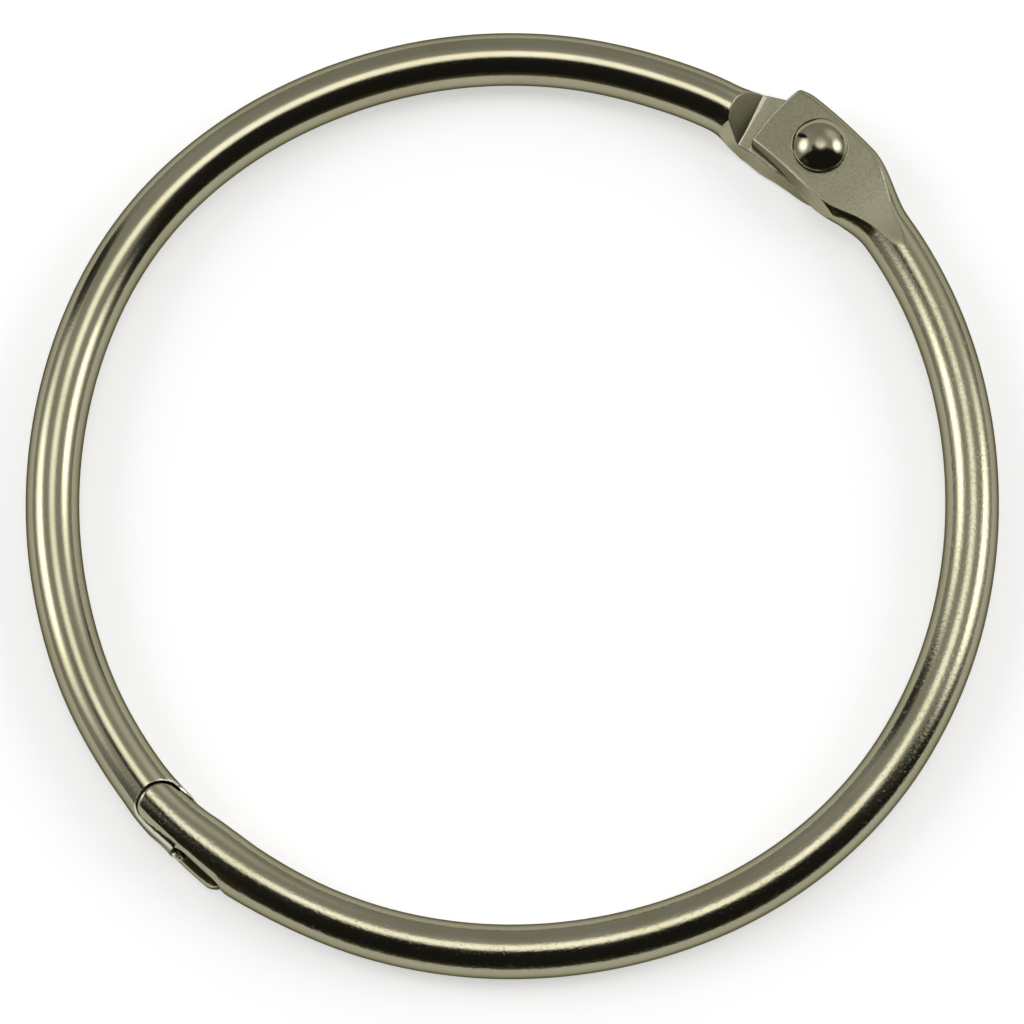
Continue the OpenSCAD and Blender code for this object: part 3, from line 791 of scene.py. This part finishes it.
def make_rivet(material):
    """Domed head, shank and upset tail, turned about the hinge's axis."""
    dome_r = (HEAD_R ** 2 + DOME_H ** 2) / (2 * DOME_H)
    top = HEAD_Z + RIM_H + DOME_H
    lip = math.degrees(math.acos(HEAD_R / dome_r))
    foot = -HALF_H
    # dome, the head's upper and lower lip, the round under the head, shank, countersink and tail
    points = arc(0, top - dome_r, dome_r, 90, lip + DOME_SHORT, 41)[1:]
    points += arc(HEAD_R - HEAD_LIP, HEAD_Z + RIM_H - HEAD_LIP * LIP_FLAT, HEAD_LIP, 50, 0, 6)
    points += arc(HEAD_R - HEAD_LIP, HEAD_Z + HEAD_LIP, HEAD_LIP, 0, -90, 5)
    points += arc(SHANK_R + SEAT_ROUND, HEAD_Z - SEAT_ROUND, SEAT_ROUND, 90, 180, 4)
    points += [(SHANK_R, -OUTER_Z + TAIL_SINK), (TAIL_R, -OUTER_Z)]
    points += arc(TAIL_FLAT_R, foot + TAIL_ROUND, TAIL_ROUND, 0, -90, 6)
    rows = len(points)
    turns = np.radians(np.arange(RIVET_STEPS) * 360 / RIVET_STEPS)
    verts = [(r * math.cos(a), r * math.sin(a), z) for r, z in points for a in turns]
    verts += [(0, 0, top), (0, 0, foot)]
    apex, base = rows * RIVET_STEPS, rows * RIVET_STEPS + 1
    faces = []
    for j in range(RIVET_STEPS):
        k = (j + 1) % RIVET_STEPS
        faces.append((apex, j, k))
        for row in range(rows - 1):
            a, b = row * RIVET_STEPS, (row + 1) * RIVET_STEPS
            faces.append((a + j, b + j, b + k, a + k))
        faces.append((base, (rows - 1) * RIVET_STEPS + k, (rows - 1) * RIVET_STEPS + j))
    v = np.array(verts)
    head = smooth((v[:, 2] - OUTER_Z) / (HEAD_Z - OUTER_Z))
    shift = np.array([*HEAD_SHIFT, 0]) * head[:, None]
    place = (v + shift + np.array([*HINGE, HALF_H])) * MM
    # the lip is painted bright: wear and a painted highlight
    lips = np.exp(-((np.hypot(v[:, 0], v[:, 1]) - HEAD_R) / LIP_SPREAD) ** 2)
    worn = DOME_WORN * np.exp(-(v[:, 0] ** 2 + v[:, 1] ** 2) / DOME_SPREAD) * (v[:, 2] > 0)
    satin = np.maximum(worn, fall(v[:, 2], foot + TAIL_SATIN[0], TAIL_SATIN[1]))
    shown = {"flow": v, "satin": satin, "dull": DOME_DULL * worn, "edge": LIP_BRIGHT * lips,
             "crushed": DOME_BUMPY * worn}
    make_piece("rivet", place, faces, shown, None, material, "lower_half", "hinge_rivet")


# roughness, and the depths of the pebble, the pits and the drawing lines
upper_plate = nickel("nickel_upper", 0.15, 12e-6, 8e-6, 0.8e-6)
lower_plate = nickel("nickel_lower", 0.14, 4e-6, 3e-6, 0.8e-6)
rivet_plate = nickel("nickel_rivet", 0.07, 1e-6, 2e-6, 0.2e-6)
make_half(UPPER, "upper_half_wire", upper_plate, "upper_half", "upper_half_ring")
make_half(LOWER, "lower_half_wire", lower_plate, "lower_half", "lower_half_ring")
make_rivet(rivet_plate)


# ---------------------------------------------------------------- floor
# A wide disk, just under the part. Lengths from here on are in metres, but for the lens and its sensor.
FLOOR_R, FLOOR_SIDES, FLOOR_UNDER = 4.0, 96, 0.00005
FLOOR_GREY, FLOOR_ROUGH, FLOOR_GLOW = (0.75, 0.75, 0.75, 1), 0.9, 0.5


def make_floor():
    mesh = bpy.data.meshes.new("floor")
    turns = [2 * math.pi * k / FLOOR_SIDES for k in range(FLOOR_SIDES)]
    rim = [(FLOOR_R * math.cos(a), FLOOR_R * math.sin(a), 0) for a in turns]
    mesh.from_pydata(rim, [], [tuple(range(FLOOR_SIDES))])
    floor = bpy.data.objects.new("floor", mesh)
    floor.location.z = -FLOOR_UNDER
    scene.collection.objects.link(floor)
    material = bpy.data.materials.new("floor_white")
    material.use_nodes = True
    nodes, links = material.node_tree.nodes, material.node_tree.links
    shader = nodes["Principled BSDF"]
    shader.inputs["Base Color"].default_value = FLOOR_GREY
    shader.inputs["Roughness"].default_value = FLOOR_ROUGH
    shader.inputs["Specular IOR Level"].default_value = 0.0
    shader.inputs["Emission Color"].default_value = (1, 1, 1, 1)
    rays = nodes.new("ShaderNodeLightPath").outputs
    seen = math_node(nodes, links, "MAXIMUM", rays["Is Camera Ray"], rays["Is Glossy Ray"])
    seen = math_node(nodes, links, "MAXIMUM", seen, rays["Is Transmission Ray"])
    links.new(math_node(nodes, links, "MULTIPLY", seen, FLOOR_GLOW), shader.inputs["Emission Strength"])
    mesh.materials.append(material)


# ---------------------------------------------------------------- studio
GREY_HIGH, GREY_LOW, BLACK = (0.6, 0.6, 0.6), (0.46, 0.46, 0.46), (0.02, 0.02, 0.018)
# Where the sky turns from the high grey to the low, and the sides of its dark end, in degrees.
SKY_FADE = 22, 48
DARK_AROUND, DARK_DEPTH = ((-162, -150), (-18, 0)), ((4, 11), (88, 90))
# Patches in the sky: colour, azimuth and its half width, angle from overhead and its half width, softness.
PATCHES = (((1.0, 1.0, 1.0), 45, 20, 57, 15, 0.6),
           ((0.55, 0.55, 0.55), 132, 16, 54, 15, 0.6),
           ((2.8, 2.8, 2.8), 70, 13, 7, 11.5, 0.5),
           ((3.2, 3.2, 3.2), 169, 17, 55, 14.5, 0.6),
           ((3.2, 3.2, 3.2), 9, 15, 58, 14, 0.55),
           ((0.02, 0.02, 0.02), 140, 6, 72, 21, 0.15),
           ((0.02, 0.02, 0.018), -161, 12, 19, 8, 0.4),
           ((0.08, 0.08, 0.08), 32, 5, 88, 6, 0.3),
           ((0.09, 0.075, 0.03), -90, 40, 82, 4, 0.6),
           ((0.1, 0.07, 0.02), -140, 9, 69, 7, 0.6))
LAMP_SIZE, LAMP_RADIANCE, LAMP_FAR = 0.4, 1.2, 1.2
TILT = math.radians(14)
LENS, SENSOR, CAMERA_FAR = 198.6, 36, 0.5
AIM_Y, AIM_Z = -0.001387, 0.0024


def direction(azimuth, zenith):
    a, z = math.radians(azimuth), math.radians(zenith)
    return np.array([math.cos(a) * math.sin(z), math.sin(a) * math.sin(z), math.cos(z)])


def make_world():
    """A grey studio with bright panels, one of them overhead, dark bars and a dark end."""
    world = bpy.data.worlds.new("studio")
    scene.world = world
    world.use_nodes = True
    nodes, links = world.node_tree.nodes, world.node_tree.links
    nodes.clear()
    out, background = nodes.new("ShaderNodeOutputWorld"), nodes.new("ShaderNodeBackground")
    links.new(background.outputs[0], out.inputs[0])
    ray = nodes.new("ShaderNodeTexCoord").outputs["Generated"]
    split = nodes.new("ShaderNodeSeparateXYZ")
    links.new(ray, split.inputs[0])

    def calc(operation, *values):
        return math_node(nodes, links, operation, *values)

    def step(value, lo, hi):
        return range_node(nodes, links, value, lo, hi, soft=True)

    def band(value, start, end):
        return calc("MULTIPLY", step(value, *start), calc("SUBTRACT", 1.0, step(value, *end)))

    def dot(vector):
        node = nodes.new("ShaderNodeVectorMath")
        node.operation = "DOT_PRODUCT"
        links.new(ray, node.inputs[0])
        node.inputs[1].default_value = tuple(vector)
        return node.outputs["Value"]

    def patch(azimuth, half_azimuth, zenith, half_zenith, soft):
        """A soft-edged oval in the sky: 1 inside, 0 outside."""
        middle = direction(azimuth, zenith)
        across = direction(azimuth + 90, 90)
        up = np.cross(middle, across)
        scaled = [e / math.sin(math.radians(w)) for e, w in ((across, half_azimuth), (up, half_zenith))]
        reach = calc("SQRT", calc("ADD", *[calc("POWER", dot(e), 2.0) for e in scaled]))
        inside = calc("SUBTRACT", 1.0, step(reach, 1 - soft, 1 + soft))
        return calc("MULTIPLY", inside, calc("GREATER_THAN", dot(middle), 0.0))

    zenith = calc("MULTIPLY", calc("ARCCOSINE", split.outputs["Z"]), 180 / math.pi)
    azimuth = calc("MULTIPLY", calc("ARCTAN2", split.outputs["Y"], split.outputs["X"]), 180 / math.pi)
    sky = colour_mix(nodes, links, step(zenith, *SKY_FADE), GREY_HIGH, GREY_LOW)
    dark = calc("MULTIPLY", band(azimuth, *DARK_AROUND), band(zenith, *DARK_DEPTH))
    sky = colour_mix(nodes, links, dark, sky, BLACK)
    for colour, *oval in PATCHES:
        sky = colour_mix(nodes, links, patch(*oval), sky, colour)
    links.new(sky, background.inputs["Color"])


def softbox(name, azimuth, zenith):
    light = bpy.data.lights.new(name, "AREA")
    light.shape = "DISK"
    light.size = LAMP_SIZE
    light.energy = LAMP_RADIANCE * math.pi ** 2 * (LAMP_SIZE / 2) ** 2
    lamp = bpy.data.objects.new(name, light)
    lamp.location = LAMP_FAR * direction(azimuth, zenith)
    lamp.rotation_mode = "QUATERNION"
    lamp.rotation_quaternion = lamp.location.to_track_quat("Z", "Y")
    scene.collection.objects.link(lamp)


def make_camera():
    data = bpy.data.cameras.new("camera")
    data.lens = LENS
    data.sensor_width = SENSOR
    data.clip_start, data.clip_end = 0.01, 20
    camera = bpy.data.objects.new("camera", data)
    camera.location = (0, AIM_Y - CAMERA_FAR * math.sin(TILT), AIM_Z + CAMERA_FAR * math.cos(TILT))
    camera.rotation_euler = (TILT, 0, 0)
    scene.collection.objects.link(camera)
    scene.camera = camera


make_floor()
make_world()
softbox("softbox_left", 170, 53)
softbox("softbox_right", 9, 54)
make_camera()
scene.view_settings.view_transform = "Standard"
